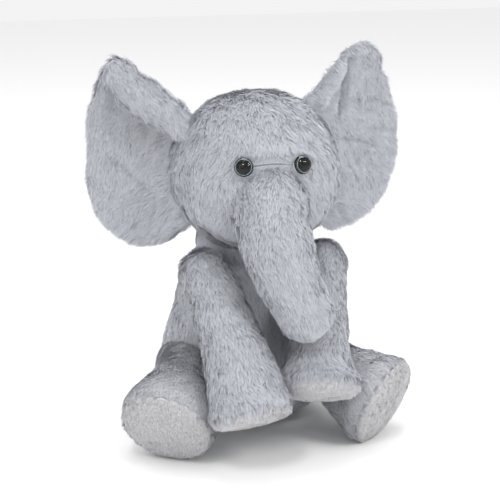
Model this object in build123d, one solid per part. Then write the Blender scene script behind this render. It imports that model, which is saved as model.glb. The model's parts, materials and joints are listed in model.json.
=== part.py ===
"""Seated plush elephant, taken apart into its fabric panels, fillings, soles and eyes.

Millimetres, +Z up.  The origin is on the ground, at the middle of the flat seat.  The elephant
faces -Y, so its right side is -X.  Every limb is a closed pouch: a fabric skin round a filling.
"""
from build123d import *
import math
import os

# ---- fabric and clearances -------------------------------------------------------------------
SKIN = 2.0                  # backing cloth and the root of the pile
LAYER_GAP = 0.12            # between a skin and its filling
MOVE_GAP = 0.35             # between two bodies that move on each other
TRIM_GAP = 0.1              # between the torso and what is sewn onto its outside
FAR = 400.0                 # side of a cutting block, larger than the toy

# ---- torso: elliptical sections, (height, half width, half depth) -----------------------------
TORSO_Y = 2.0
TORSO_SECTIONS = ((0, 30, 24), (7, 47, 39), (24, 59, 48), (48, 60, 47), (76, 53, 43), (108, 42, 39))

# ---- neck and head -----------------------------------------------------------------------------
NECK = Vector(0, 0, 120)
NECK_RADIUS = 36.0
HEAD = Vector(0, -14, 170)
HEAD_HALF_WIDTH = 57.0
HEAD_RADIUS = 54.5          # in the head's own upright section
HEAD_TURN = -5.0            # degrees, the head looks a little to its own right

# ---- trunk: centre line and radius, root first --------------------------------------------------
TRUNK = (
    (Vector(-4.5, -58, 156), 26.0),
    (Vector(-6, -79, 136), 23.5),
    (Vector(-2, -91, 115), 20.8),
    (Vector(1.5, -96, 105), 19.6),
    (Vector(4.5, -97.5, 97), 18.3),
)
TRUNK_LIFT = 30             # degrees
TRUNK_EDGE_START = (30, 30)     # the line between its panels runs on past the root, back and up
TRUNK_EDGE_END = (3, -60)       # and past the tip, straight down
TUBE_STEP = 0.4             # a tube's ends are slimmer than the balls they run into

# ---- eyes: moulded safety eyes ------------------------------------------------------------------
EYE_SIDE = 18.5             # from the middle of the face
EYE_RISE = 13.0             # above the head's centre
EYE_RADIUS = 5.9
PUPIL_RADIUS = 4.2
EYE_BACK = 1.2              # thickness of the moulded back
IRIS_STEP = 0.4             # height of the iris ring and the pupil on it
DOME_RISE = 3.6
SHANK_RADIUS = 2.0
SHANK_LENGTH = 11.0
WASHER_RADIUS = 4.8
WASHER_THICK = 1.2
EYE_SEAT = 0.1              # between the cloth and the moulded back
WASHER_DROP = 0.8           # between the cloth and the washer behind it
POCKET_GAP = 0.4            # round the washer and the shank, in the filling

# ---- ears ---------------------------------------------------------------------------------------
EAR_OUT = 50.0              # root line, from the head's middle plane
EAR_BACK = 15.0             # behind the head's centre
EAR_RISE = 2.0
EAR_SWEEP = {"right": 20.0, "left": 10.0}   # degrees behind straight sideways
EAR_FLAP = 18               # degrees each way
EAR_PANEL = 2.4             # each of the two layers
EAR_BOWL = 135.0            # radius of the hollow front
EAR_DROP = 3.0              # of the deepest point, behind the root line
EAR_DEEP = 40.0             # half of the block that the outline is cut through
EAR_MIDDLE = (30.0, 6.0)    # where the hollow is deepest, out from the root and up
EAR_OUTLINE = {     # out and up; the right ear's top is folded down, so it ends lower
    "right": ((-6, -38), (8, -49), (27, -49), (45, -39), (56, -22), (59, 2),
              (57, 30), (49, 53), (36, 68), (20, 66), (6, 55), (-6, 44)),
    "left": ((-6, -40), (8, -46), (26, -41), (45, -26), (54, -6), (56, 14),
             (51, 34), (43, 53), (34, 69), (21, 78), (6, 74), (-4, 60), (-8, 48)),
}

# ---- legs: root and tip centres and radii, waist radius, sole normal and distance ----------------
LEGS = {
    "right_front": dict(root=Vector(-41, -36, 110), root_r=17, tip=Vector(-31.7, -101.6, 42.9), tip_r=24,
                        waist_r=20, sole=Vector(0.08, -0.46, -0.88), sole_at=7),
    "left_front": dict(root=Vector(40, -36, 109), root_r=17, tip=Vector(18.8, -87.9, 49.4), tip_r=22.8,
                       waist_r=18.5, sole=Vector(-0.16, -0.49, -0.86), sole_at=7),
    "right_hind": dict(root=Vector(-44, -2, 38), root_r=20, tip=Vector(-71.6, -65.2, 29.2), tip_r=27.4,
                       waist_r=20, sole=Vector(-0.50, -0.71, -0.50), sole_at=15),
    "left_hind": dict(root=Vector(44, -2, 38), root_r=20, tip=Vector(60.6, -65.5, 28.2), tip_r=27.6,
                      waist_r=20, sole=Vector(0.60, -0.72, -0.36), sole_at=15),
}
SPREAD_STEPS = {"right_hind": (-35, -18), "left_hind": (18, 35)}     # degrees about the upright

# ---- tail, label and closing stitches ------------------------------------------------------------
TAIL_ROOT = Vector(0, 47, 38)
TAIL_TIP = Vector(0, 74, 17)
TAIL_SWING = 30             # degrees each way
TAIL_RADIUS = 4.5
TUFT_RADIUS = 7.0
TUFT_STRETCH = 9.0          # half of the straight part of the tuft
LABEL_SIZE = (13.0, 0.8, 20.0)
LABEL_PLACE = Vector(24, 48, 16)
STITCH_HEIGHTS = range(52, 95, 5)
STITCH_LOOP = 1.9
THREAD_RADIUS = 0.45


def ball(centre, radius):
    return Pos(*centre) * Sphere(radius)


def beyond(plane):
    """Everything on the far side of a plane, where its normal points."""
    return plane * Pos(0, 0, FAR / 2) * Box(FAR, FAR, FAR)


def turned(shape, pivot, axis, degrees):
    return shape.rotate(Axis(pivot, axis), degrees)


def save(name, shape):
    shape.label = name
    export_step(shape, f"parts/{name}.step")


def torso_form(inset):
    """Pear-shaped torso with a flat seat; inset moves its whole surface inwards."""
    lowest, highest = TORSO_SECTIONS[0][0], TORSO_SECTIONS[-1][0]
    sections = []
    for height, width, depth in TORSO_SECTIONS:
        z = min(max(height, lowest + inset), highest - inset)
        sections.append(Pos(0, TORSO_Y, z) * Ellipse(width - inset, depth - inset))
    return loft(sections)


def back_at(height):
    """Y of the torso's back at a height, straight between its sections."""
    for (low, _, near), (high, _, far) in zip(TORSO_SECTIONS, TORSO_SECTIONS[1:]):
        if low <= height <= high:
            return TORSO_Y + near + (far - near) * (height - low) / (high - low)
    raise ValueError("height outside the torso")


def head_form(inset):
    """Egg lying across the head, round from the side, made as a left and a right half."""
    half_width, radius = HEAD_HALF_WIDTH - inset, HEAD_RADIUS - inset
    left = EllipticalCenterArc((0, 0), half_width, radius, 0, arc_size=90)
    right = EllipticalCenterArc((0, 0), half_width, radius, 90, arc_size=90)
    egg = revolve(make_face(left + right + Line((-half_width, 0), (half_width, 0))), Axis.X)
    return Pos(*HEAD) * Rot(0, 0, HEAD_TURN) * egg


def trunk_tube(inset):
    """Tapered tube on the trunk's centre line, a little slimmer than the balls at its ends."""
    line = Spline([point for point, radius in TRUNK])
    sections = []
    for point, radius in TRUNK:
        along = line.tangent_at(line.param_at_point(point))
        at_end = point in (TRUNK[0][0], TRUNK[-1][0])
        slim = TUBE_STEP if at_end else 0
        sections.append(Plane(origin=point, z_dir=along) * Circle(radius - inset - slim))
    return loft(sections)


def trunk_form(inset):
    (root, root_radius), (tip, tip_radius) = TRUNK[0], TRUNK[-1]
    return trunk_tube(inset) + ball(root, root_radius - inset) + ball(tip, tip_radius - inset)


def leg_form(leg, inset):
    """Solid turned about the line from a leg's root to its tip, round at both ends."""
    length = (leg["tip"] - leg["root"]).length
    root_r, waist_r, tip_r = leg["root_r"] - inset, leg["waist_r"] - inset, leg["tip_r"] - inset
    root_arc = CenterArc((0, 0), root_r, -90, 90)
    side = Spline([(root_r, 0), (waist_r, length / 2), (tip_r, length)], tangents=[(0, 1), (0, 1)])
    tip_arc = CenterArc((0, length), tip_r, 0, 90)
    outline = root_arc + side + tip_arc + Line((0, length + tip_r), (0, -root_r))
    face = Plane.XZ * make_face(outline)
    frame = Plane(origin=leg["root"], z_dir=leg["tip"] - leg["root"])
    return frame * revolve(face, Axis.Z)


def sole_plane(leg, depth):
    """Plane of the sole, depth millimetres inside its outer face."""
    normal = leg["sole"].normalized()
    return Plane(origin=leg["tip"] + normal * (leg["sole_at"] - depth), z_dir=normal)


def leg_outside(leg, grow=0.0):
    return leg_form(leg, -grow) - beyond(sole_plane(leg, -grow))


def leg_parts(leg):
    """A leg's skin, its filling and the round sole that closes the foot."""
    whole = leg_form(leg, 0)
    foot_end = beyond(sole_plane(leg, SKIN))
    skin = whole - leg_form(leg, SKIN) - foot_end
    sole = (whole & foot_end) - beyond(sole_plane(leg, 0))
    filling = leg_form(leg, SKIN + LAYER_GAP) - beyond(sole_plane(leg, SKIN + LAYER_GAP))
    return skin, filling, sole


def tail_tube(grow=0.0):
    length = (TAIL_TIP - TAIL_ROOT).length
    frame = Plane(origin=TAIL_ROOT, z_dir=TAIL_TIP - TAIL_ROOT)
    return frame * Pos(0, 0, length / 2) * Cylinder(TAIL_RADIUS - TUBE_STEP / 4 + grow, length)


def tail_parts():
    """Thin tail and the loose tuft sewn into its end."""
    tube = tail_tube() + ball(TAIL_ROOT, TAIL_RADIUS)
    length = (TAIL_TIP - TAIL_ROOT).length
    frame = Plane(origin=TAIL_ROOT, z_dir=TAIL_TIP - TAIL_ROOT)
    tuft = Cylinder(TUFT_RADIUS - TUBE_STEP / 4, TUFT_STRETCH)
    for end in (-1, 1):
        tuft += Pos(0, 0, end * TUFT_STRETCH / 2) * Sphere(TUFT_RADIUS)
    tuft = frame * Pos(0, 0, length) * tuft
    return tube, tuft - tube


def face_frame(side):
    """Frame on the head's surface under an eye: its Z is the way the eye looks."""
    sign = -1 if side == "right" else 1
    across, up = sign * EYE_SIDE, EYE_RISE
    forward = -HEAD_RADIUS * math.sqrt(1 - (across / HEAD_HALF_WIDTH) ** 2 - (up / HEAD_RADIUS) ** 2)
    normal = Vector(across / HEAD_HALF_WIDTH ** 2, forward / HEAD_RADIUS ** 2, up / HEAD_RADIUS ** 2)
    place = HEAD + Vector(across, forward, up).rotate(Axis.Z, HEAD_TURN)
    return Plane(origin=place, z_dir=normal.rotate(Axis.Z, HEAD_TURN))


def eye_parts(frame):
    """Moulded back with pupil and shank, iris ring, clear dome and lock washer."""
    back_top = EYE_SEAT + EYE_BACK
    iris_top = back_top + IRIS_STEP
    washer_top = -SKIN - WASHER_DROP

    def disc(radius, bottom, top):
        return Pos(0, 0, (bottom + top) / 2) * Cylinder(radius, top - bottom)

    core = disc(EYE_RADIUS, EYE_SEAT, back_top) + disc(PUPIL_RADIUS, back_top, iris_top)
    core += disc(SHANK_RADIUS, -SHANK_LENGTH, EYE_SEAT)
    iris = disc(EYE_RADIUS, back_top, iris_top) - disc(PUPIL_RADIUS, back_top, iris_top)
    washer = disc(WASHER_RADIUS, washer_top - WASHER_THICK, washer_top)
    washer -= disc(SHANK_RADIUS, -SHANK_LENGTH, 0)
    dome_radius = (EYE_RADIUS ** 2 + DOME_RISE ** 2) / (2 * DOME_RISE)
    dome = Pos(0, 0, iris_top + DOME_RISE - dome_radius) * Sphere(dome_radius)
    dome &= disc(EYE_RADIUS, iris_top, iris_top + DOME_RISE)
    pocket = disc(WASHER_RADIUS + POCKET_GAP, washer_top - WASHER_THICK - POCKET_GAP, 0)
    pocket += disc(SHANK_RADIUS + POCKET_GAP, -SHANK_LENGTH - POCKET_GAP, 0)
    hole = disc(SHANK_RADIUS + EYE_SEAT, -SKIN * 2, SKIN)
    pieces = {"core": core, "iris": iris, "dome": dome, "washer": washer, "pocket": pocket, "hole": hole}
    return {name: frame * piece for name, piece in pieces.items()}


def ear_frame(side):
    """Frame of an ear: X out along the ear, Z out of its hollow front, origin on the root line."""
    sign = -1 if side == "right" else 1
    sweep = math.radians(EAR_SWEEP[side])
    out = Vector(sign * math.cos(sweep), math.sin(sweep), 0).rotate(Axis.Z, HEAD_TURN)
    front = Vector(sign * math.sin(sweep), -math.cos(sweep), 0).rotate(Axis.Z, HEAD_TURN)
    root = HEAD + Vector(sign * EAR_OUT, EAR_BACK, EAR_RISE).rotate(Axis.Z, HEAD_TURN)
    return Plane(origin=root, x_dir=out, z_dir=front)


def ear_parts(side):
    """Front and back panel of an ear, cut to follow the head as the ear flaps."""
    frame = ear_frame(side)
    upright = -1 if side == "right" else 1      # the right ear's frame has its Y pointing down
    points = [(x, upright * y) for x, y in EAR_OUTLINE[side]]
    rim = Spline(points)
    plate = extrude(make_face(rim + Line(points[-1], points[0])), EAR_DEEP, both=True)
    centre = Pos(EAR_MIDDLE[0], upright * EAR_MIDDLE[1], EAR_BOWL - EAR_DROP)
    radii = [EAR_BOWL, EAR_BOWL + EAR_PANEL, EAR_BOWL + EAR_PANEL + LAYER_GAP,
             EAR_BOWL + 2 * EAR_PANEL + LAYER_GAP]
    front_face, front_rear, back_face, back_rear = [centre * Sphere(radius) for radius in radii]
    front = frame * ((front_rear - front_face) & plate)
    back = frame * ((back_rear - back_face) & plate)
    head = head_form(-MOVE_GAP)
    for degrees in (-EAR_FLAP, 0, EAR_FLAP):
        swept = turned(head, frame.origin, (0, 0, 1), degrees)
        front -= swept
        back -= swept
    return front, back


def main():
    os.makedirs("parts", exist_ok=True)
    neck_socket = ball(NECK, NECK_RADIUS + MOVE_GAP)

    # sockets in the torso for the four legs and the tail
    sockets = [neck_socket, ball(TAIL_ROOT, TAIL_RADIUS + MOVE_GAP)]
    for name, leg in LEGS.items():
        for degrees in (0,) + SPREAD_STEPS.get(name, ()):
            sockets.append(turned(leg_outside(leg, MOVE_GAP), leg["root"], (0, 0, 1), degrees))
    for degrees in (-TAIL_SWING, 0, TAIL_SWING):
        sockets.append(turned(tail_tube(MOVE_GAP), TAIL_ROOT, (0, 0, 1), degrees))
    torso_skin = torso_form(0) - torso_form(SKIN)
    torso_filling = torso_form(SKIN + LAYER_GAP)
    for socket in sockets:
        torso_skin -= socket
        torso_filling -= socket
    front_side = beyond(Plane(origin=(0, TORSO_Y, 0), z_dir=(0, -1, 0)))
    save("body_front_panel", torso_skin & front_side)
    save("body_back_panel", torso_skin - front_side)
    save("body_stuffing", torso_filling)

    # neck filling, a ball that the torso and the head both turn on
    save("neck_stuffing", ball(NECK, NECK_RADIUS))

    # head: two side panels round one filling, with room for the trunk's root
    root, root_radius = TRUNK[0]
    rooms = [neck_socket, ball(root, root_radius + MOVE_GAP)]
    for degrees in (0, TRUNK_LIFT / 2, TRUNK_LIFT):
        rooms.append(turned(trunk_tube(-MOVE_GAP), root, (-1, 0, 0), degrees))
    eyes = {side: eye_parts(face_frame(side)) for side in ("right", "left")}
    head_skin = head_form(0) - head_form(SKIN)
    head_filling = head_form(SKIN + LAYER_GAP)
    for room in rooms:
        head_skin -= room
        head_filling -= room
    for eye in eyes.values():
        head_skin -= eye["hole"]
        head_filling -= eye["pocket"]
    middle = Plane(origin=HEAD, z_dir=Vector(-1, 0, 0).rotate(Axis.Z, HEAD_TURN))
    save("head_right_panel", head_skin & beyond(middle))
    save("head_left_panel", head_skin - beyond(middle))
    save("head_stuffing", head_filling)
    for side, eye in eyes.items():
        for piece in ("core", "iris", "dome", "washer"):
            save(f"{side}_eye_{piece}", eye[piece])

    # trunk: a front panel and an underside panel that meet along its two sides
    trunk_skin = trunk_form(0) - trunk_form(SKIN)
    line = [(point.Y, point.Z) for point, radius in TRUNK]
    top_end = (line[0][0] + TRUNK_EDGE_START[0], line[0][1] + TRUNK_EDGE_START[1])
    low_end = (line[-1][0] + TRUNK_EDGE_END[0], line[-1][1] + TRUNK_EDGE_END[1])
    edge = [top_end] + line + [low_end, (-FAR, -FAR), (-FAR, FAR)]
    front_block = extrude(Plane.YZ * make_face(Polyline(*edge, close=True)), FAR / 2, both=True)
    save("trunk_front_panel", trunk_skin & front_block)
    save("trunk_underside_panel", trunk_skin - front_block)
    save("trunk_stuffing", trunk_form(SKIN + LAYER_GAP))

    for side in ("right", "left"):
        front, back = ear_parts(side)
        save(f"{side}_ear_front", front)
        save(f"{side}_ear_back", back)

    for name, leg in LEGS.items():
        skin, filling, sole = leg_parts(leg)
        save(f"{name}_leg_skin", skin)
        save(f"{name}_leg_stuffing", filling)
        save(f"{name}_sole", sole)

    tail, tuft = tail_parts()
    save("tail_skin", tail)
    save("tail_tuft", tuft)

    # closing stitches up the back seam, and the sewn-in label beside the tail
    cleared = torso_form(-TRIM_GAP)
    stitches = []
    for height in STITCH_HEIGHTS:
        loop = Pos(0, back_at(height), height) * Torus(STITCH_LOOP, THREAD_RADIUS)
        stitches.append(loop - cleared)
    save("closing_stitches", Compound(children=stitches))
    label = Pos(*LABEL_PLACE) * Box(*LABEL_SIZE)
    save("care_label", label - cleared)


if __name__ == "__main__":
    main()
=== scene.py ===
"""Looks of a seated plush elephant: sewn skins, combed pile, glossy safety eyes.

Metres, +Z up, the elephant faces -Y and its right side is -X.  Every skin is a closed surface, and
the pile on it is a separate piece of real tapered blades that moves exactly as its skin does.
"""
import json
import math

import bmesh
import bpy
import numpy as np
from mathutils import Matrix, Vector


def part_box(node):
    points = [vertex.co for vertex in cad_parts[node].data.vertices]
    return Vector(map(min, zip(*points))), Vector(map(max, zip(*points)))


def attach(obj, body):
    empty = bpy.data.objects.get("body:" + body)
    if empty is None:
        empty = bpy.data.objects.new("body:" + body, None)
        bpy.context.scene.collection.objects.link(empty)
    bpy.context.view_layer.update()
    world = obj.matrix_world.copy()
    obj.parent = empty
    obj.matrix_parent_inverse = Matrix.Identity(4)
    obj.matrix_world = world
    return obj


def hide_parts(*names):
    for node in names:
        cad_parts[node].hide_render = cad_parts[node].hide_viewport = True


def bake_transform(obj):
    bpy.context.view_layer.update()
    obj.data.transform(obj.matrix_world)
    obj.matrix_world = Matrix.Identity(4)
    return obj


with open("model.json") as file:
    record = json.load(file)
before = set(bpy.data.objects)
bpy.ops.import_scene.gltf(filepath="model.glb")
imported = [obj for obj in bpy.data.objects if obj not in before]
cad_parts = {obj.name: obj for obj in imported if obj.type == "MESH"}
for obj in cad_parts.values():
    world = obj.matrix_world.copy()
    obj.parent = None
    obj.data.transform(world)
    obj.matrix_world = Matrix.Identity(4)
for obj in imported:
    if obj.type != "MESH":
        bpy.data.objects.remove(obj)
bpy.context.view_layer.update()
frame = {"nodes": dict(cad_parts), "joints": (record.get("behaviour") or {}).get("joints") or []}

MM = 0.001
UV_COLUMNS = 128             # blades take their shade from one of this many columns of the UV map
JOINTS = {joint["name"]: joint for joint in frame["joints"]}


# ---- small vector helpers -------------------------------------------------------------------------
def vec(*values):
    return np.array(values, float)


def unit(v):
    v = np.asarray(v, float)
    return v / np.maximum(np.linalg.norm(v, axis=-1, keepdims=True), 1e-12)


def dot(a, b):
    return (a * b).sum(-1, keepdims=True)


def smooth(t):
    t = np.clip(t, 0, 1)
    return t * t * (3 - 2 * t)


def pivot(joint):
    return vec(*JOINTS[joint]["pos_m"])


def box_centre(node):
    low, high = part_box(node)
    return vec(*((low + high) / 2))


def turn_z(v, degrees):
    a = math.radians(degrees)
    v = np.asarray(v, float)
    x, y = v[..., 0], v[..., 1]
    c, s = math.cos(a), math.sin(a)
    return np.stack([x * c - y * s, x * s + y * c, v[..., 2]], -1)


def waves(points, length, seed):
    """Smooth random field, about -1 to 1, that varies over a given length."""
    rng = np.random.default_rng(seed)
    total = np.zeros(len(points))
    for _ in range(6):
        k = unit(rng.normal(size=3)) * 2 * math.pi / length * rng.uniform(0.7, 1.4)
        total += np.sin(points @ k + rng.uniform(0, 2 * math.pi))
    return total / 3.2


def curve_through(keys, t):
    """Smooth curve through (parameter, value...) keys, read at the parameters t."""
    keys = np.array(keys, float)
    x, y = keys[:, 0], keys[:, 1:]
    slope = np.gradient(y, x, axis=0)
    i = np.clip(np.searchsorted(x, t, side="right") - 1, 0, len(x) - 2)
    h = (x[i + 1] - x[i])[:, None]
    u = ((t - x[i])[:, None]) / h
    a, b = y[i], y[i + 1]
    ma, mb = slope[i] * h, slope[i + 1] * h
    out = (2 * u ** 3 - 3 * u ** 2 + 1) * a + (u ** 3 - 2 * u ** 2 + u) * ma
    out += (-2 * u ** 3 + 3 * u ** 2) * b + (u ** 3 - u ** 2) * mb
    return out


# ---- meshes -----------------------------------------------------------------------------------------
def make_mesh(name, vertices, faces, material):
    """Closed smooth surface, turned so that its normals point outward."""
    mesh = bpy.data.meshes.new(name)
    mesh.from_pydata(vertices.tolist(), [], faces)
    shell = bmesh.new()
    shell.from_mesh(mesh)
    bmesh.ops.recalc_face_normals(shell, faces=shell.faces)
    if shell.calc_volume(signed=True) < 0:
        bmesh.ops.reverse_faces(shell, faces=shell.faces)
    shell.to_mesh(mesh)
    shell.free()
    mesh.shade_smooth()
    piece = bpy.data.objects.new(name, mesh)
    bpy.context.scene.collection.objects.link(piece)
    mesh.materials.append(material)
    return piece


def rings_to_faces(rings, around):
    """Quads between rings, and a fan from each end ring to its pole (the last two vertices)."""
    faces = []
    for i in range(rings - 1):
        for j in range(around):
            k = (j + 1) % around
            faces.append((i * around + j, i * around + k, (i + 1) * around + k, (i + 1) * around + j))
    first, last = rings * around, rings * around + 1
    for j in range(around):
        k = (j + 1) % around
        faces.append((first, k, j))
        faces.append((last, (rings - 1) * around + j, (rings - 1) * around + k))
    return faces


def full_turn(around):
    """Angles evenly round a full turn."""
    return np.linspace(0, 2 * math.pi, around, endpoint=False)


def ball_directions(rings, around):
    """Directions of a ball's rings, then of its two poles, in the order of rings_to_faces."""
    tilt = np.linspace(0, math.pi, rings + 2)[1:-1, None]
    angle = full_turn(around)[None]
    level = np.broadcast_to(np.cos(tilt), (rings, around))
    d = np.stack([np.sin(tilt) * np.cos(angle), np.sin(tilt) * np.sin(angle), level], -1)
    return np.concatenate([d.reshape(-1, 3), [[0, 0, 1.0], [0, 0, -1.0]]])


def disc_frame(node, outward):
    """Centre of a CAD disc, its corners, and its normal on the side of outward(centre), with two cross axes."""
    points = np.array([vertex.co for vertex in frame["nodes"][node].data.vertices], float)
    centre = points.mean(0)
    _, _, axes = np.linalg.svd(points - centre, full_matrices=False)
    normal = axes[2] if axes[2] @ outward(centre) > 0 else -axes[2]
    x = unit(np.cross(normal, vec(0, 0, 1)))
    return points, centre, normal, x, np.cross(normal, x)


def path_frames(centres, across_hint):
    """Tangent and two cross axes at each point of a path."""
    tangent = unit(np.gradient(centres, axis=0))
    x = unit(across_hint - tangent * dot(tangent, across_hint))
    y = np.cross(tangent, x)
    return tangent, x, y


def loft_rings(name, centres, x, y, radii, material):
    """Closed surface through rings; radii is one row of distances for each ring."""
    count, around = radii.shape
    angle = full_turn(around)
    ring = np.cos(angle)[None, :, None] * x[:, None, :] + np.sin(angle)[None, :, None] * y[:, None, :]
    points = centres[:, None, :] + ring * radii[:, :, None]
    vertices = np.concatenate([points.reshape(-1, 3), centres[:1], centres[-1:]])
    return make_mesh(name, vertices, rings_to_faces(count, around), material)


def read_mesh(piece):
    mesh = piece.data
    mesh.calc_loop_triangles()
    co = np.empty(len(mesh.vertices) * 3, np.float32)
    mesh.vertices.foreach_get("co", co)
    tri = np.empty(len(mesh.loop_triangles) * 3, np.int32)
    mesh.loop_triangles.foreach_get("vertices", tri)
    normal = np.empty(len(mesh.vertices) * 3, np.float32)
    mesh.vertices.foreach_get("normal", normal)
    return co.reshape(-1, 3).astype(float), tri.reshape(-1, 3), normal.reshape(-1, 3).astype(float)


def move_points(piece, points):
    piece.data.vertices.foreach_set("co", points.astype(np.float32).ravel())
    piece.data.update()


def subdivide(piece, levels=1):
    modifier = piece.modifiers.new("smooth", "SUBSURF")
    modifier.levels = levels
    modifier.render_levels = levels
    bpy.context.view_layer.objects.active = piece
    piece.select_set(True)
    bpy.ops.object.modifier_apply(modifier=modifier.name)
    piece.select_set(False)


def lumps(piece, height, length, seed):
    """Uneven filling: gentle bumps along the surface's own normals."""
    points, _, normals = read_mesh(piece)
    field = waves(points, length, seed) + 0.5 * waves(points, length * 0.45, seed + 1)
    move_points(piece, points + normals * (height * field)[:, None])


# ---- materials --------------------------------------------------------------------------------------
def new_material(name, roughness, colour=None, sheen=0.0):
    material = bpy.data.materials.new(name)
    material.use_nodes = True
    shader = material.node_tree.nodes["Principled BSDF"]
    shader.inputs["Roughness"].default_value = roughness
    shader.inputs["Specular IOR Level"].default_value = 0.25
    if colour:
        shader.inputs["Base Color"].default_value = (*colour, 1)
    if sheen:
        shader.inputs["Sheen Weight"].default_value = sheen
        shader.inputs["Sheen Roughness"].default_value = 0.4
    return material, shader


def link(material, source, target):
    material.node_tree.links.new(source, target)


def pile_material(name, root, tip, spread):
    """Pile blades: the colour runs from a darker root, which is painted shade deep in the pile, to the tip, and
    differs a little from blade to blade.
    """
    material, shader = new_material(name, 0.62)
    nodes = material.node_tree.nodes
    uv = nodes.new("ShaderNodeUVMap")
    uv.uv_map = "OFBake"
    split = nodes.new("ShaderNodeSeparateXYZ")
    # the ramp's darker root end is painted shade among the blades, not the fibre's own colour
    ramp = nodes.new("ShaderNodeValToRGB")
    ramp.color_ramp.elements[0].color = (*root, 1)
    ramp.color_ramp.elements[1].color = (*tip, 1)
    ramp.color_ramp.elements[1].position = 0.75
    noise = nodes.new("ShaderNodeTexWhiteNoise")
    noise.noise_dimensions = "1D"
    steps = nodes.new("ShaderNodeMath")
    steps.operation = "SNAP"
    steps.inputs[1].default_value = 1 / UV_COLUMNS
    vary = nodes.new("ShaderNodeMapRange")
    vary.inputs["To Min"].default_value = 1 - spread
    vary.inputs["To Max"].default_value = 1 + spread * 0.6
    mix = nodes.new("ShaderNodeVectorMath")
    mix.operation = "SCALE"
    link(material, uv.outputs["UV"], split.inputs[0])
    link(material, split.outputs["Y"], ramp.inputs["Fac"])
    link(material, split.outputs["X"], steps.inputs[0])
    link(material, steps.outputs[0], noise.inputs["W"])
    link(material, noise.outputs["Value"], vary.inputs["Value"])
    link(material, ramp.outputs["Color"], mix.inputs[0])
    link(material, vary.outputs[0], mix.inputs["Scale"])
    link(material, mix.outputs[0], shader.inputs["Base Color"])
    return material


def cloth_material(name, colour, scale, roughness=0.9):
    """Backing cloth or short velvet: a fine uneven nap in colour and bump."""
    material, shader = new_material(name, roughness, sheen=0.25)
    nodes = material.node_tree.nodes
    place = nodes.new("ShaderNodeTexCoord")
    fine = nodes.new("ShaderNodeTexNoise")
    fine.inputs["Scale"].default_value = scale
    fine.inputs["Detail"].default_value = 5
    ramp = nodes.new("ShaderNodeValToRGB")
    ramp.color_ramp.elements[0].color = (*[c * 0.82 for c in colour], 1)
    ramp.color_ramp.elements[0].position = 0.3
    ramp.color_ramp.elements[1].color = (*[min(1, c * 1.08) for c in colour], 1)
    ramp.color_ramp.elements[1].position = 0.7
    bump = nodes.new("ShaderNodeBump")
    bump.inputs["Strength"].default_value = 0.35
    bump.inputs["Distance"].default_value = 0.4 * MM
    link(material, place.outputs["Object"], fine.inputs["Vector"])
    link(material, fine.outputs["Fac"], ramp.inputs["Fac"])
    link(material, ramp.outputs["Color"], shader.inputs["Base Color"])
    link(material, fine.outputs["Fac"], bump.inputs["Height"])
    link(material, bump.outputs["Normal"], shader.inputs["Normal"])
    return material


# ---- pile ---------------------------------------------------------------------------------------------
BLADES_PER_PIECE = 60000     # three triangles each, under the export's limit for one mesh
DENSITY = 3.3 / MM ** 2
BLADE_WIDTH = 0.33 * MM
CLUMP = 2.4 * MM
HOLE_EDGE = 6 * MM           # the pile grows to its full length over this distance from a hole


def cell_random(cells, seed):
    """Three numbers from 0 to 1 for each whole-number cell."""
    out = []
    for k in range(3):
        n = cells[:, 0] * 73856093 ^ cells[:, 1] * 19349663 ^ cells[:, 2] * 83492791
        n = n ^ (seed * 2654435 + k * 97531)
        n = (n ^ (n >> 13)) * 1274126177 & 0x7FFFFFFF
        n = (n ^ (n >> 16)) * 668265263 & 0x7FFFFFFF
        out.append((n % 100003) / 100003)
    return np.stack(out, -1)


def seam_distance(points, seams):
    """Distance from each point to the nearest of some polylines."""
    best = np.full(len(points), 1.0)
    for seam in seams:
        for a, b in zip(seam[:-1], seam[1:]):
            ab = b - a
            t = np.clip((points - a) @ ab / (ab @ ab), 0, 1)
            best = np.minimum(best, np.linalg.norm(points - a - t[:, None] * ab, axis=1))
    return best


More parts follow.
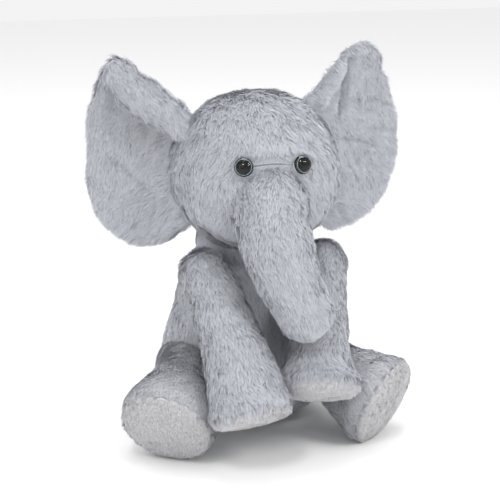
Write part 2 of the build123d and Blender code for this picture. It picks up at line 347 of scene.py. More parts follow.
def grow_pile(name, skin, material, comb, length, seed, lift=0.28, clump=0.24,
              keep=None, seams=(), seam_gap=4 * MM, holes=(), limit=None):
    """Blades of pile all over a skin, combed along comb(points, normals); returns the pieces.

    The pile gets shorter beside the seams, and stays out of the holes, each a centre and a radius.
    """
    rng = np.random.default_rng(seed)
    points, triangles, normals = read_mesh(skin)
    corner = points[triangles]
    area = np.linalg.norm(np.cross(corner[:, 1] - corner[:, 0], corner[:, 2] - corner[:, 0]), axis=1) / 2
    count = int(area.sum() * DENSITY)
    pick = np.searchsorted(np.cumsum(area) / area.sum(), rng.random(count))
    pick = np.minimum(pick, len(triangles) - 1)
    r1, r2 = np.sqrt(rng.random(count)), rng.random(count)
    bary = np.stack([1 - r1, r1 * (1 - r2), r1 * r2], -1)[:, :, None]
    root = (corner[pick] * bary).sum(1)
    up = unit((normals[triangles[pick]] * bary).sum(1))
    kept = np.ones(count, bool) if keep is None else keep(root, up)
    for centre, radius in holes:
        kept &= np.linalg.norm(root - centre, axis=1) > radius
    root, up = root[kept], up[kept]
    count = len(root)

    along = comb(root, up)
    along = unit(along - up * dot(along, up))
    side = np.cross(up, along)
    stray = 0.36 * waves(root, 24 * MM, seed + 11) + 0.18 * waves(root, 8 * MM, seed + 12)
    stray += rng.normal(0, 0.2, count)
    along = unit(along * np.cos(stray)[:, None] + side * np.sin(stray)[:, None])
    side = np.cross(up, along)

    size = length * (0.86 + 0.12 * waves(root, 15 * MM, seed + 13) + rng.uniform(-0.16, 0.16, count))
    near = smooth((seam_distance(root, seams) - 0.3 * MM) / seam_gap)
    for centre, radius in holes:
        near = np.minimum(near, smooth((np.linalg.norm(root - centre, axis=1) - radius) / HOLE_EDGE))
    size = (size * (0.2 + 0.8 * near))[:, None]
    rise = lift * (1 + 0.35 * waves(root, 9 * MM, seed + 14) + rng.normal(0, 0.2, count))[:, None]
    rise = np.clip(rise, 0.12, 1.4)
    first = unit(along + up * rise * 1.7)
    second = unit(along + up * rise * 0.55)
    middle = root + first * size * 0.5
    tip = middle + second * size * 0.5

    jitter = np.stack([waves(root, 6 * MM, seed + 20 + k) for k in range(3)], -1) * CLUMP * 0.35
    cells = np.floor((root + jitter) / CLUMP).astype(np.int64)
    centre = (cells + 0.15 + 0.7 * cell_random(cells, seed)) * CLUMP
    pull = centre - root
    pull -= up * dot(pull, up)
    strength = clump * (0.55 + 0.45 * cell_random(cells, seed + 5)[:, :1]) * near[:, None]
    tip = tip + pull * strength
    middle = middle + pull * strength * 0.35

    roll = rng.normal(0, 0.55, count)[:, None]
    flat = unit(side * np.cos(roll) + up * np.sin(roll))
    half = BLADE_WIDTH * rng.uniform(0.75, 1.25, count)[:, None] / 2
    blade = np.stack([root - flat * half, root + flat * half,
                      middle - flat * half * 0.8, middle + flat * half * 0.8, tip], 1)
    face = unit(np.cross(tip - root, flat))
    face = face * np.where(dot(face, up) < 0, -1, 1)
    shade_low = unit(up * 0.75 + face * 0.35)
    shade_high = unit(up * 0.7 + face * 0.32 + along * 0.1)
    shade = np.stack([shade_low, shade_low, shade_high, shade_high, shade_high], 1)
    if limit is not None:
        blade = limit(blade.reshape(-1, 3)).reshape(blade.shape)

    column = (rng.integers(0, UV_COLUMNS, count) + 0.5) / UV_COLUMNS
    thin = 0.3 / UV_COLUMNS
    pieces = []
    for start in range(0, count, BLADES_PER_PIECE):
        part = slice(start, min(start + BLADES_PER_PIECE, count))
        label = name if count <= BLADES_PER_PIECE else f"{name}_{start // BLADES_PER_PIECE + 1}"
        pieces.append(blade_mesh(label, blade[part], shade[part], column[part], thin, material))
    return pieces


def blade_mesh(name, blade, shade, column, thin, material):
    """One mesh of many blades: a quad and a triangle each."""
    count = len(blade)
    base = np.arange(count, dtype=np.int32)[:, None] * 5
    corners = (base + np.array([[1, 0, 2, 3, 3, 2, 4]], np.int32)).ravel()
    starts = (np.arange(count, dtype=np.int32)[:, None] * 7 + np.array([[0, 4]], np.int32)).ravel()
    mesh = bpy.data.meshes.new(name)
    mesh.vertices.add(count * 5)
    mesh.vertices.foreach_set("co", blade.astype(np.float32).ravel())
    mesh.loops.add(count * 7)
    mesh.loops.foreach_set("vertex_index", corners)
    mesh.polygons.add(count * 2)
    mesh.polygons.foreach_set("loop_start", starts)
    u = column[:, None] + np.array([[-1, 1, -1, 1, 0]]) * thin
    v = np.broadcast_to(np.array([[0.02, 0.02, 0.5, 0.5, 0.98]]), u.shape)
    uv = np.stack([u, v], -1).reshape(-1, 2)[corners]
    layer = mesh.uv_layers.new(name="OFBake")
    layer.data.foreach_set("uv", uv.astype(np.float32).ravel())
    mesh.update(calc_edges=True)
    mesh.shade_smooth()
    mesh.normals_split_custom_set_from_vertices(shade.reshape(-1, 3).astype(np.float32).tolist())
    mesh.materials.append(material)
    piece = bpy.data.objects.new(name, mesh)
    bpy.context.scene.collection.objects.link(piece)
    return piece


# ---- shared finishes, with painted shade at the pile's roots and in the backing cloth ------------------
# root colours darker than the tips: painted shade deep in the pile; the tip colours are the pile's own
PILE_ROOT_PAINTED_SHADE = (0.33, 0.34, 0.38)
PILE_TIP = (0.61, 0.625, 0.67)
SHORT_ROOT_PAINTED_SHADE = (0.44, 0.445, 0.475)
SHORT_TIP = (0.62, 0.63, 0.665)
# backing cloth darker than the pile so that the gaps between blades look shadowed: painted shade
CLOTH_WITH_PAINTED_SHADE = (0.45, 0.46, 0.50)
SOLE = (0.60, 0.60, 0.61)
SOLE_ROOT_PAINTED_SHADE = (0.42, 0.415, 0.425)
SOLE_TIP = (0.66, 0.655, 0.67)

long_pile = pile_material("long_pile", PILE_ROOT_PAINTED_SHADE, PILE_TIP, 0.12)
short_pile = pile_material("short_pile", SHORT_ROOT_PAINTED_SHADE, SHORT_TIP, 0.08)
sole_pile = pile_material("sole_pile", SOLE_ROOT_PAINTED_SHADE, SOLE_TIP, 0.14)
backing = cloth_material("backing_cloth", CLOTH_WITH_PAINTED_SHADE, 900)
velvet = cloth_material("sole_velvet", SOLE, 1400)

LONG = 7.0 * MM              # pile length on the head, body, trunk and front legs
EAR_PILE = 6.5 * MM
SHORT = 4.5 * MM             # on the hind legs
NAP = 3.0 * MM               # on the soles
PILE_RISE = 3.0              # mm that the combed pile stands above its skin
SHORT_RISE = 2.0


FLOOR_GAP = 0.3 * MM


def clear_of_floor(points):
    """Pile that meets the ground lies flat on it."""
    points = points.copy()
    points[:, 2] = np.maximum(points[:, 2], FLOOR_GAP)
    return points


def keep_off_floor(piece):
    points, _, _ = read_mesh(piece)
    move_points(piece, clear_of_floor(points))


# ---- torso ------------------------------------------------------------------------------------------------
NECK = pivot("neck_turn")
TORSO_Y = 2 * MM
TORSO_KEYS = [  # height, half width, half depth in mm, at the outside of the pile
    (0.0, 16, 11), (1.0, 26, 20), (3, 36, 29), (7, 46, 38), (14, 54, 44), (24, 59, 48), (48, 60, 47),
    (76, 53, 43), (100, 45, 40), (112, 38, 36), (120, 24, 24)]


def build_torso():
    heights = np.array([0, 0.4, 1, 2, 3, 5, 7, 10, 14, 19] + list(range(24, 112, 4)) + [114, 117, 120], float)
    sections = curve_through(TORSO_KEYS, heights) - PILE_RISE
    lifted = np.maximum(heights, FLOOR_GAP / MM) + np.maximum(0, PILE_RISE - heights) * 0.4
    centres = np.stack([heights * 0, np.full(len(heights), TORSO_Y), lifted * MM], -1)
    angle = full_turn(96)
    half = sections * MM
    radii = 1 / np.sqrt((np.cos(angle)[None] / half[:, :1]) ** 2 + (np.sin(angle)[None] / half[:, 1:]) ** 2)
    x = np.tile(vec(1, 0, 0), (len(heights), 1))
    y = np.tile(vec(0, 1, 0), (len(heights), 1))
    skin = loft_rings("torso_skin", centres, x, y, radii, backing)
    lumps(skin, 0.8 * MM, 45 * MM, 3)
    keep_off_floor(skin)
    return skin


def comb_down(points, normals):
    return np.tile(vec(0, 0, -1), (len(points), 1)) + 0.4 * unit(points * vec(1, 1, 0))


# ---- head ---------------------------------------------------------------------------------------------------
HEAD = NECK + vec(0, -14, 50) * MM
HEAD_TURN = -5.0
HEAD_RADII = vec(57, 54.5, 54.5) * MM


def head_point(direction):
    """Point of the head's skin in a direction from its centre, both in the head's own frame."""
    d = unit(direction)
    return d / np.linalg.norm(d / (HEAD_RADII - PILE_RISE * MM), axis=-1, keepdims=True)


def to_world(local):
    return HEAD + turn_z(local, HEAD_TURN)


def to_head(points):
    return turn_z(points - HEAD, -HEAD_TURN)


def build_head():
    rings, around = 60, 96
    local = head_point(ball_directions(rings, around))
    skin = make_mesh("head_skin", to_world(local), rings_to_faces(rings, around), backing)
    lumps(skin, 0.7 * MM, 40 * MM, 9)
    return skin


CROWN = vec(0, 38, 40) * MM          # in the head's frame


def comb_head(points, normals):
    """Pile runs away from the crown, outward over the cheeks and down, and round the eyes."""
    local = to_head(points)
    away = unit(local - CROWN)
    out = local * vec(1, 0, 0) / HEAD_RADII[0]
    face = smooth(-local[:, 1:2] / (40 * MM))
    flow = turn_z(away + 0.8 * out * face + vec(0, 0, -0.35) * face, HEAD_TURN)
    seam = face_seam_line()
    nearest = seam[np.argmin(((points[:, None, :] - seam[None]) ** 2).sum(-1), axis=1)]
    for centre in [nearest] + list(EYES.values()):
        gap = points - centre
        near = np.exp(-(np.linalg.norm(gap, axis=1) / (9 * MM)) ** 2)[:, None]
        flow = unit(flow) * (1 - near) + unit(gap) * near
    return flow


EYES = {side: box_centre(f"{side}_eye_iris") for side in ("right", "left")}
EYE_HOLES = [(centre, 6.6 * MM) for centre in EYES.values()]
SEAM_SIDE = 13.5                     # half of the seam between the eyes, in mm
SEAM_RISE = 12.5                     # its height above the head's centre


def face_seam_line():
    """The seam that joins the trunk's front panel to the forehead, from eye to eye."""
    side = np.linspace(-1, 1, 15)
    height = SEAM_RISE + 1.6 * (1 - side ** 2)
    x = side * SEAM_SIDE
    y = -np.sqrt(np.maximum(0, 1 - (x / 54) ** 2 - (height / 51.5) ** 2)) * 51.5
    return to_world(np.stack([x, y, height], -1) * MM)


# ---- trunk ---------------------------------------------------------------------------------------------------
TRUNK_ROOT = pivot("trunk_lift")
TRUNK_KEYS = [  # length along, then offset from the root and radius, all in mm
    (0, 0, 0, 0, 26.5), (29, -1.5, -21, -20, 23.8), (54, 2.5, -33, -41, 21.0), (66, 6, -38, -51, 19.8),
    (75, 9, -39.5, -59, 18.6)]
TRUNK_TIP_LENGTH = 14.0


def build_trunk():
    length = np.linspace(-14, 75 + TRUNK_TIP_LENGTH, 46)
    inside = np.clip(length, 0, 75)
    keys = curve_through(TRUNK_KEYS, inside)
    centres = keys[:, :3]
    start = unit(curve_through(TRUNK_KEYS, vec(1, 0))[0, :3] - centres[0])
    end_a, end_b = curve_through(TRUNK_KEYS, vec(74, 75))[:, :3]
    end = unit(end_b - end_a)
    centres = centres + np.minimum(length, 0)[:, None] * start + np.maximum(length - 75, 0)[:, None] * end
    radius = keys[:, 3] - PILE_RISE
    back = np.clip(-length / 26.5, 0, 1)
    tip = np.clip((length - 75) / TRUNK_TIP_LENGTH, 0, 0.985)
    radius = radius * np.sqrt(1 - back ** 2) * (1 - tip ** 2.4) ** 0.5
    centres = TRUNK_ROOT + centres * MM
    _, x, y = path_frames(centres, vec(1, 0, 0))
    radii = np.repeat(radius[:, None] * MM, 64, 1)
    skin = loft_rings("trunk_skin", centres, x, y, radii, backing)
    lumps(skin, 0.6 * MM, 30 * MM, 17)
    return skin, centres


# ---- legs ---------------------------------------------------------------------------------------------------
def disc_axis(node):
    """Centre, outward normal and radius of a sole's CAD disc, which faces down."""
    points, centre, normal, _, _ = disc_frame(node, lambda centre: vec(0, 0, -1))
    spread = points - centre
    spread = spread - np.outer(spread @ normal, normal)
    return centre, normal, np.linalg.norm(spread, axis=1).max()


LEGS = {  # radii in mm: root, waist, foot; share of the way down where the foot is fullest
    "right_front": dict(joint="right_front_leg_swing", radii=(17.5, 21, 25.8), full=0.86, pile=LONG, seed=31),
    "left_front": dict(joint="left_front_leg_swing", radii=(17.5, 19.5, 24.8), full=0.86, pile=LONG, seed=37),
    "right_hind": dict(joint="right_hind_leg_spread", radii=(21, 22, 28.5), full=0.78, pile=SHORT, seed=41),
    "left_hind": dict(joint="left_hind_leg_spread", radii=(21, 22, 28.5), full=0.78, pile=SHORT, seed=43),
}


PUCKERS = 22                 # gathers round each sole's seam
PUCKER_DEPTH = 0.9           # mm
SOLE_FIT = 0.985             # the pad's radius, as a share of the CAD disc's


def leg_path(root, sole_centre, sole_normal, t):
    """Curve from the root to the sole that meets the sole square on."""
    reach = np.linalg.norm(sole_centre - root)
    bend = sole_centre - sole_normal * reach * 0.42
    t = t[:, None]
    return (1 - t) ** 2 * root + 2 * t * (1 - t) * bend + t ** 2 * sole_centre


def build_leg(name, spec):
    root = pivot(spec["joint"])
    sole_centre, sole_normal, sole_radius = disc_axis(f"{name}_sole")
    rise = SHORT_RISE if spec["pile"] == SHORT else PILE_RISE
    root_r, waist_r, foot_r = [radius - rise for radius in spec["radii"]]
    t = np.concatenate([np.linspace(0, 0.93, 30), [0.955, 0.975, 0.988, 0.995, 0.998]])
    centres = leg_path(root, sole_centre, sole_normal, t)
    rim = sole_radius / MM
    keys = [(0, root_r), (0.45, waist_r), (spec["full"], foot_r), (0.955, rim), (1.0, rim - 2.5)]
    radius = curve_through(keys, t)[:, 0]
    radius[-3:] = (rim - 1.0, rim - 2.5, rim - 7)
    back = np.linspace(-0.97, -0.1, 9)
    start = unit(centres[1] - centres[0])
    cap = centres[0] + start * (back * root_r * MM)[:, None]
    centres = np.concatenate([cap, centres])
    radius = np.concatenate([root_r * np.sqrt(1 - back ** 2), radius])
    _, x, y = path_frames(centres, vec(1, 0.2, 0))
    angle = full_turn(72)
    radii = np.repeat(radius[:, None], 72, 1)
    down = np.concatenate([np.zeros(len(back)), t])[:, None]
    pucker = np.exp(-((1 - down) / 0.05) ** 2) * np.sin(angle * PUCKERS + 0.7 * np.sin(angle * 5))[None]
    radii = (radii + PUCKER_DEPTH * pucker) * MM
    skin = loft_rings(f"{name}_leg_skin", centres, x, y, radii, backing)
    lumps(skin, 0.6 * MM, 30 * MM, spec["seed"])
    keep_off_floor(skin)
    sole = build_sole(name, sole_centre, sole_normal, sole_radius)
    return skin, sole, centres


def build_sole(name, centre, normal, radius):
    """Round pad with a crowned face and an edge that turns in to the seam."""
    share = vec(0.55, 0.9, 0.985, 1.0, 0.985, 0.94, 0.86, 0.72, 0.5, 0.25)
    height = vec(-1.8, -1.6, -0.8, 0.3, 1.8, 3.0, 4.0, 4.8, 5.4, 5.7) * MM
    centres = centre + normal * height[:, None]
    count = len(share)
    x = unit(np.cross(normal, vec(0, 0, 1)))
    y = np.cross(normal, x)
    near_seam = np.exp(-((share[:, None] - 1) / 0.1) ** 2)
    ripple = 1 + 0.03 * np.sin(full_turn(72) * PUCKERS)[None] * near_seam
    radii = radius * SOLE_FIT * share[:, None] * ripple
    across, along = np.tile(x, (count, 1)), np.tile(y, (count, 1))
    sole = loft_rings(f"{name}_sole_pad", centres, across, along, radii, velvet)
    subdivide(sole)
    keep_off_floor(sole)
    return sole


# ---- ears ----------------------------------------------------------------------------------------------------
EAR_SWEEP = {"right": 20.0, "left": 10.0}
EAR_PATTERN = {  # flat outline in mm, out from the root and up; the right ear's top is folded down
    "right": [(-20, -20), (-12, -34), (0, -43), (12, -49.5), (27, -49), (42, -41), (52, -30), (57, -14),
              (58.5, 4), (57.5, 22), (54, 40), (47.5, 55), (40, 67.5), (31.5, 77), (26, 84.5), (18, 88), (7, 86),
              (-5, 79), (-16, 69), (-23, 58), (-27, 42), (-27, 20)],
    "left": [(-20, -22), (-10, -38), (4, -45), (18, -42), (32, -36), (44, -26), (51, -14), (55, 0), (56, 14),
             (52, 32), (46, 47), (40, 59), (34, 69), (26, 77), (17, 79), (8, 76.5), (1, 70), (-5, 60), (-12, 50),
             (-22, 42), (-26, 20)],
}
EAR_MIDDLE = vec(26, 6)
EAR_BOWL = 120.0
EAR_THICK = 4.0
FOLD_FOOT = vec(-14, 37.6)       # the fold's line, from the head to the ear's outer top
FOLD_WAY = unit(vec(44, 34.4))
FOLD_SPAN = 56.0
FOLD_START = -13.5               # the cloth starts to roll this far below the line
FOLD_RADIUS = 8.5
FOLD_TURN = math.radians(184)


def ear_axes(side):
    sign = -1 if side == "right" else 1
    sweep = math.radians(EAR_SWEEP[side])
    out = turn_z(vec(sign * math.cos(sweep), math.sin(sweep), 0), HEAD_TURN)
    front = turn_z(vec(sign * math.sin(sweep), -math.cos(sweep), 0), HEAD_TURN)
    return pivot(f"{side}_ear_flap"), out, vec(0, 0, 1), front


def groove(flat, start, end, width):
    """1 along a line drawn on the pattern, falling to 0 beside it."""
    start, end = vec(*start), vec(*end)
    way = end - start
    t = np.clip((flat - start) @ way / (way @ way), 0, 1)
    gap = np.linalg.norm(flat - start - t[:, None] * way, axis=1)
    return np.exp(-(gap / width) ** 2)


def ear_hollow(side, flat):
    """How far forward the ear's cloth is, before any fold."""
    u, v = flat[:, 0], flat[:, 1]
    r2 = (u - EAR_MIDDLE[0]) ** 2 + (v - EAR_MIDDLE[1]) ** 2
    w = EAR_BOWL - np.sqrt(EAR_BOWL ** 2 - np.minimum(r2, 90 ** 2)) - 4.0
    if side == "right":
        w -= 5.0 * groove(flat, (6, 30), (28, 44), 14)
        w += 2.0 * groove(flat, (18, -4), (46, 22), 7)
        w -= 1.6 * groove(flat, (10, -16), (40, 2), 6)
    else:
        w -= 3.0 * groove(flat, (9, 72), (10, 36), 3.2)
        w += 3.5 * groove(flat, (1, 62), (-6, 44), 6)
        w -= 2.6 * groove(flat, (30, 62), (30, 36), 11)
        w -= 1.8 * groove(flat, (36, 42), (48, 36), 2.6)
        w += 1.6 * groove(flat, (16, 28), (44, 26), 5)
        w -= 2.0 * groove(flat, (14, 16), (36, 9), 3.5)
        w -= 1.4 * groove(flat, (-2, -28), (10, -38), 3)
    return w


def ear_sheet(side, flat):
    """Middle surface of an ear: flat pattern (out, up) in mm to (out, up, front) in mm."""
    if side == "left":
        return np.column_stack([flat, ear_hollow(side, flat)])
    across = vec(-FOLD_WAY[1], FOLD_WAY[0])
    along = (flat - FOLD_FOOT) @ FOLD_WAY
    bulge = 3.0 * np.sin(math.pi * np.clip(along / FOLD_SPAN, 0, 1))
    bulge = bulge + 0.03 * np.clip(along - 40, 0, 10) ** 2
    bulge += 1.2 * np.sin(along / 5.5) * np.clip(1 - along / FOLD_SPAN, 0, 1)
    past = (flat - FOLD_FOOT) @ across - FOLD_START - bulge
    rolled = np.maximum(past, 0)
    angle = np.minimum(rolled / FOLD_RADIUS, FOLD_TURN)
    straight = np.maximum(rolled - FOLD_RADIUS * FOLD_TURN, 0)
    foot = flat - rolled[:, None] * across
    shift = FOLD_RADIUS * np.sin(angle) + straight * math.cos(FOLD_TURN)
    forward = FOLD_RADIUS * (1 - np.cos(angle)) + straight * math.sin(FOLD_TURN)
    bent = foot + shift[:, None] * across
    return np.column_stack([bent, ear_hollow(side, foot) + forward])


def build_ear(side):
    origin, out, up, front = ear_axes(side)
    keys = np.array(EAR_PATTERN[side], float)
    closed = np.concatenate([keys[-2:], keys, keys[:2]])
    t = np.arange(len(closed)) - 2.0
    around = 180
    turn = np.linspace(0, len(keys), around, endpoint=False)
    rim = curve_through(np.column_stack([t, closed]), turn)
    share = np.concatenate([np.linspace(0.06, 0.92, 34), [0.95, 0.975, 0.99, 1.0]])
    sheets = []
    for sign in (1, -1):
        for s in (share if sign == 1 else share[::-1][1:]):
            flat = EAR_MIDDLE + s * (rim - EAR_MIDDLE)
            mid = ear_sheet(side, flat)
            du = ear_sheet(side, flat + vec(0.5, 0)) - mid
            dv = ear_sheet(side, flat + vec(0, 0.5)) - mid
            normal = unit(np.cross(du, dv))
            thick = EAR_THICK / 2 * math.sqrt(max(0.0, 1 - s ** 6))
            sheets.append(mid + normal * sign * thick)
    rings = len(sheets)
    poles = []
    for sign in (1, -1):
        mid = ear_sheet(side, EAR_MIDDLE[None])
        poles.append(mid[0] + vec(0, 0, 1) * sign * EAR_THICK / 2)
    local = np.concatenate(sheets + [np.array(poles)]) * MM
    world = origin + local[:, :1] * out + local[:, 1:2] * up + local[:, 2:] * front
    skin = make_mesh(f"{side}_ear_skin", world, rings_to_faces(rings, around), backing)
    lumps(skin, 0.8 * MM, 26 * MM, 51 if side == "right" else 57)
    return skin


def comb_ear(side):
    """Pile runs outward and down, straight down near the rim, and back over the fold."""
    origin, out, up, front = ear_axes(side)

    def comb(points, normals):
        gap = points - origin
        flat = np.column_stack([gap @ out, gap @ up]) / MM
        over = (gap @ front) / MM - ear_hollow(side, flat) > 8.0
        way = out * 0.6 - up * (0.5 + np.clip(flat[:, :1] / 50, 0, 1))
        return np.where(over[:, None], -out * 0.5 - up * 0.8, way)
    return comb


# ---- tail ----------------------------------------------------------------------------------------------------
def build_tail():
    root = pivot("tail_swing")
    low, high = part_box("tail_tuft")
    tip = vec(0, high.y - 5 * MM, low.z + 5 * MM)
    t = np.linspace(-0.1, 1, 24)
    sag = np.sin(np.clip(t, 0, 1) * math.pi)[:, None] * vec(0, 2, -1.5) * MM
    centres = root + (tip - root) * t[:, None] + sag
    radius = curve_through([(-0.1, 1.5), (0, 4.2), (0.5, 3.4), (0.7, 4.4), (0.9, 4.2), (1, 1.2)], t)[:, 0]
    _, x, y = path_frames(centres, vec(1, 0, 0))
    radii = np.repeat(radius[:, None] * MM, 28, 1)
    return loft_rings("tail_cloth", centres, x, y, radii, backing), root, tip


# ---- put together ---------------------------------------------------------------------------------------------
def bind(pieces, body=None, blend=None):
    for piece in pieces:
        if blend:
            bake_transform(piece)
        else:
            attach(piece, body)


def build_neck():
    """Filled neck that the head turns on, mostly hidden between the head and the torso."""
    rings, around = 24, 48
    low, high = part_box("neck_stuffing")
    radius = (high.x - low.x) / 2 - PILE_RISE * MM
    points = NECK + ball_directions(rings, around) * radius
    return make_mesh("neck_skin", points, rings_to_faces(rings, around), backing)


def outside_torso(points, normals):
    """Leaves out the neck's pile where it's buried in the torso or the head."""
    return (points[:, 2] > 0.09) & (np.linalg.norm(points - HEAD, axis=1) > 47 * MM)


def thread_tube(name, line, radius, material):
    """Thin round thread along a line."""
    centres = np.asarray(line, float)
    _, x, y = path_frames(centres, vec(0, 0.3, 1))
    radii = np.full((len(centres), 8), radius)
    return loft_rings(name, centres, x, y, radii, material)


thread_grey = cloth_material("thread_grey", (0.20, 0.205, 0.22), 2500, roughness=0.8)
seam_line = face_seam_line()
torso = build_torso()
back_seam = [vec(0, TORSO_Y + 44 * MM, 0.046), vec(0, TORSO_Y + 41.5 * MM, 0.076),
             vec(0, TORSO_Y + 38 * MM, 0.098)]
bind([torso], body="torso")
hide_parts("body_front_panel", "body_back_panel", "body_stuffing")
bind(grow_pile("torso_pile", torso, long_pile, comb_down, LONG, 101, limit=clear_of_floor, seams=[back_seam],
               keep=lambda p, n: (p[:, 2] > 1.2 * MM) & (p[:, 2] < 0.1195)), body="torso")

STITCH_HALF = 2.6 * MM               # half the length of one closing stitch
STITCH_WIRE = 0.45 * MM


def build_stitches():
    """Short level stitches up the middle of the back, lying on the torso's skin."""
    low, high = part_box("closing_stitches")
    vertices, faces = [], []
    for height in np.linspace(low.z + STITCH_WIRE, high.z - STITCH_WIRE, 9):
        _, place, _, _ = torso.ray_cast(Vector((0, 0.2, height)), Vector((0, -1, 0)))
        side = np.linspace(-1, 1, 7)
        centres = np.stack([side * STITCH_HALF, place.y + (0.5 - side ** 2) * MM, height + 0 * side], -1)
        _, x, y = path_frames(centres, vec(0, 0.3, 1))
        angle = full_turn(8)[None, :, None]
        ring = (np.cos(angle) * x[:, None] + np.sin(angle) * y[:, None]) * STITCH_WIRE
        start = len(vertices)
        vertices += list((centres[:, None] + ring).reshape(-1, 3)) + [centres[0], centres[-1]]
        faces += [tuple(start + k for k in face) for face in rings_to_faces(7, 8)]
    return make_mesh("back_stitches", np.array(vertices), faces, thread_grey)


stitches = build_stitches()
bind([stitches], body="torso")
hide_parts("closing_stitches")

neck = build_neck()
bind([neck], body="neck")
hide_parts("neck_stuffing")
bind(grow_pile("neck_pile", neck, long_pile, comb_down, LONG, 105, keep=outside_torso),
     body="neck")

head = build_head()
bind([head], body="head")
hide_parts("head_right_panel", "head_left_panel", "head_stuffing")
bind(grow_pile("head_pile", head, long_pile, comb_head, LONG, 111, seams=[seam_line], seam_gap=2.6 * MM,
               holes=EYE_HOLES), body="head")
face_seam = thread_tube("face_seam", seam_line, 0.36 * MM, thread_grey)
bind([face_seam], body="head")

trunk, trunk_line = build_trunk()


def comb_trunk(points, normals):
    nearest = np.argmin(((points[:, None, :] - trunk_line[None]) ** 2).sum(-1), axis=1)
    tangent = unit(np.gradient(trunk_line, axis=0))
    return tangent[nearest]


trunk_bend = ("head", "trunk", tuple(TRUNK_ROOT), tuple(trunk_line[18]))
trunk_fur = grow_pile("trunk_pile", trunk, long_pile, comb_trunk, LONG * 0.9, 121, seams=[seam_line],
                      seam_gap=2.6 * MM,
                      holes=EYE_HOLES)
bind([trunk] + trunk_fur, blend=trunk_bend)
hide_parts("trunk_front_panel", "trunk_underside_panel", "trunk_stuffing")

for side in ("right", "left"):
    ear = build_ear(side)
    origin, out, up, front = ear_axes(side)
    bend = ("head", f"{side}_ear", tuple(origin), tuple(origin + out * 18 * MM))
    fur = grow_pile(f"{side}_ear_pile", ear, long_pile, comb_ear(side), EAR_PILE,
                    131 if side == "right" else 137)
    bind([ear] + fur, blend=bend)
    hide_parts(f"{side}_ear_front", f"{side}_ear_back")

for name, spec in LEGS.items():
    skin, sole, line = build_leg(name, spec)
    tangent = unit(np.gradient(line, axis=0))

    def comb_leg(points, normals, line=line, tangent=tangent):
        nearest = np.argmin(((points[:, None, :] - line[None]) ** 2).sum(-1), axis=1)
        return tangent[nearest]

    hind = "hind" in name
    bend = ("torso", f"{name}_leg", tuple(line[5]), tuple(line[18]))
    fur = grow_pile(f"{name}_leg_pile", skin, short_pile if hind else long_pile, comb_leg, spec["pile"],
                    spec["seed"] + 100, limit=clear_of_floor)
    bind([skin] + fur, blend=bend)
    sole_fur = grow_pile(f"{name}_sole_nap", sole, sole_pile, comb_down, NAP, spec["seed"] + 200,
                         limit=clear_of_floor, clump=0.42, lift=0.5)
    bind([sole] + sole_fur, body=f"{name}_leg")
    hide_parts(f"{name}_leg_skin", f"{name}_leg_stuffing")
    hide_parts(f"{name}_sole")

tail, tail_root, tail_tip = build_tail()
tail_way = tail_tip - tail_root


def comb_tail(points, normals):
    return np.tile(unit(tail_way), (len(points), 1))


tail_fur = grow_pile("tail_pile", tail, long_pile, comb_tail, LONG * 0.8, 151, limit=clear_of_floor)
bind([tail] + tail_fur, body="tail")
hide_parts("tail_skin", "tail_tuft")


# ---- hard parts carried over from the CAD --------------------------------------------------------------------
def finish_node(node, material):
    mesh = frame["nodes"][node].data
    mesh.materials.clear()
    mesh.materials.append(material)


BEZEL_RADIUS = 4.6 * MM
BEZEL_WIRE = 0.22 * MM


def eye_bezel(side):
    """Thin silver ring printed round the pupil, under the clear dome."""
    points, centre, normal, x, y = disc_frame(f"{side}_eye_iris", lambda centre: centre - HEAD)
    seat = ((points - centre) @ normal).max()
    around = full_turn(64)[:, None]
    tube = full_turn(8)[None, :]
    out = BEZEL_RADIUS + BEZEL_WIRE * np.cos(tube)
    rise = seat + BEZEL_WIRE * 0.6 * (1 + np.sin(tube))
    flat_x, flat_y = np.cos(around) * out, np.sin(around) * out
    rise = np.broadcast_to(rise, flat_x.shape)
    ring = centre + flat_x[..., None] * x + flat_y[..., None] * y + rise[..., None] * normal
    faces = []
    for i in range(64):
        for j in range(8):
            k, m = (i + 1) % 64, (j + 1) % 8
            faces.append((i * 8 + j, k * 8 + j, k * 8 + m, i * 8 + m))
    return make_mesh(f"{side}_eye_bezel", ring.reshape(-1, 3), faces, eye_silver)


def eye_lens(side):
    """Smooth clear dome over the pupil and the ring, on the CAD dome's own axis."""
    points = np.array([vertex.co for vertex in frame["nodes"][f"{side}_eye_dome"].data.vertices], float)
    _, centre, normal, x, y = disc_frame(f"{side}_eye_iris", lambda centre: centre - HEAD)
    height = (points - centre) @ normal
    flat = points - centre - np.outer(height, normal)
    base, rise, wide = height.min(), height.max() - height.min(), np.linalg.norm(flat, axis=1).max()
    share = np.sin(np.linspace(0.03, 1, 16) * math.pi / 2)[::-1]
    ball = (wide ** 2 + rise ** 2) / (2 * rise)
    crown = np.sqrt(ball ** 2 - (share * wide) ** 2) - (ball - rise)
    radii = np.concatenate([vec(0.5, 0.985) * wide, share * wide])
    lift = np.concatenate([vec(0, 0), crown + 0.02 * MM])
    centres = centre + (base + lift)[:, None] * normal
    rows = np.repeat(radii[:, None], 72, 1)
    across, along = np.tile(x, (len(radii), 1)), np.tile(y, (len(radii), 1))
    return loft_rings(f"{side}_eye_lens", centres, across, along, rows, eye_clear)


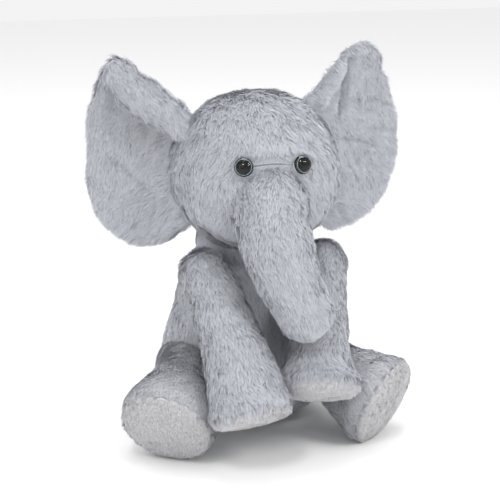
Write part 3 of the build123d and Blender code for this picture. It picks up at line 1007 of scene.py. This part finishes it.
eye_black, shader = new_material("eye_black", 0.35, (0.001, 0.001, 0.0012))
shader.inputs["Specular IOR Level"].default_value = 0.0
eye_ring, _ = new_material("eye_ring", 0.35, (0.016, 0.035, 0.045))
eye_silver, shader = new_material("eye_silver", 0.3, (0.40, 0.50, 0.53))
shader.inputs["Metallic"].default_value = 0.7
eye_clear, shader = new_material("eye_clear", 0.05, (1, 1, 1))
shader.inputs["Transmission Weight"].default_value = 1
shader.inputs["IOR"].default_value = 1.42
shader.inputs["Specular IOR Level"].default_value = 0.5
washer_white, _ = new_material("washer_white", 0.5, (0.8, 0.8, 0.78))
label_white, _ = new_material("label_white", 0.45, (0.85, 0.85, 0.84))
for side in ("right", "left"):
    finish_node(f"{side}_eye_core", eye_black)
    finish_node(f"{side}_eye_iris", eye_ring)
    lens = eye_lens(side)
    bind([lens], body="head")
    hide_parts(f"{side}_eye_dome")
    finish_node(f"{side}_eye_washer", washer_white)
    bezel = eye_bezel(side)
    bind([bezel], body="head")
finish_node("care_label", label_white)


# ---- stage ---------------------------------------------------------------------------------------------------
def area_light(name, place, aim, size, watts):
    light = bpy.data.lights.new(name, "AREA")
    light.shape = "DISK"
    light.size = size
    light.energy = watts
    lamp = bpy.data.objects.new(name, light)
    lamp.location = place
    lamp.rotation_euler = (Vector(aim) - Vector(place)).to_track_quat("-Z", "Y").to_euler()
    bpy.context.scene.collection.objects.link(lamp)


FLOOR_HALF = 3.0
SKY = 0.9                    # strength of the even white light all round


def build_stage():
    mesh = bpy.data.meshes.new("floor")
    h = FLOOR_HALF
    mesh.from_pydata([(-h, -h, 0), (h, -h, 0), (h, h, 0), (-h, h, 0)], [], [(0, 1, 2, 3)])
    floor = bpy.data.objects.new("floor", mesh)
    bpy.context.scene.collection.objects.link(floor)
    paper, _ = new_material("paper", 0.9, (0.93, 0.93, 0.93))
    mesh.materials.append(paper)
    world = bpy.data.worlds.new("studio")
    world.use_nodes = True
    world.node_tree.nodes["Background"].inputs["Color"].default_value = (1, 1, 1, 1)
    world.node_tree.nodes["Background"].inputs["Strength"].default_value = SKY
    bpy.context.scene.world = world
    middle = (0, 0, 0.12)
    area_light("key", (0.75, -1.1, 1.1), middle, 0.5, 9)
    area_light("fill", (-1.2, -0.7, 0.7), middle, 1.0, 2.2)
    area_light("top", (0.1, 0.3, 1.5), middle, 0.9, 8)
    area_light("catch_light", (-0.5, -0.75, 1.2), middle, 0.3, 4.5)
    bpy.context.scene.view_settings.view_transform = "Standard"


CAMERA_AZIMUTH = -18.0
CAMERA_ELEVATION = 15.0
CAMERA_DISTANCE = 0.87
CAMERA_AIM = vec(-4.7, -18.5, 118) * MM
CAMERA_LENS = 95


def build_camera():
    a, e = math.radians(CAMERA_AZIMUTH), math.radians(CAMERA_ELEVATION)
    back = vec(math.sin(a) * math.cos(e), -math.cos(a) * math.cos(e), math.sin(e))
    data = bpy.data.cameras.new("camera")
    data.lens = CAMERA_LENS
    camera = bpy.data.objects.new("camera", data)
    camera.location = CAMERA_AIM + back * CAMERA_DISTANCE
    camera.rotation_euler = Vector(-back).to_track_quat("-Z", "Y").to_euler()
    bpy.context.scene.collection.objects.link(camera)
    bpy.context.scene.camera = camera


build_stage()
build_camera()
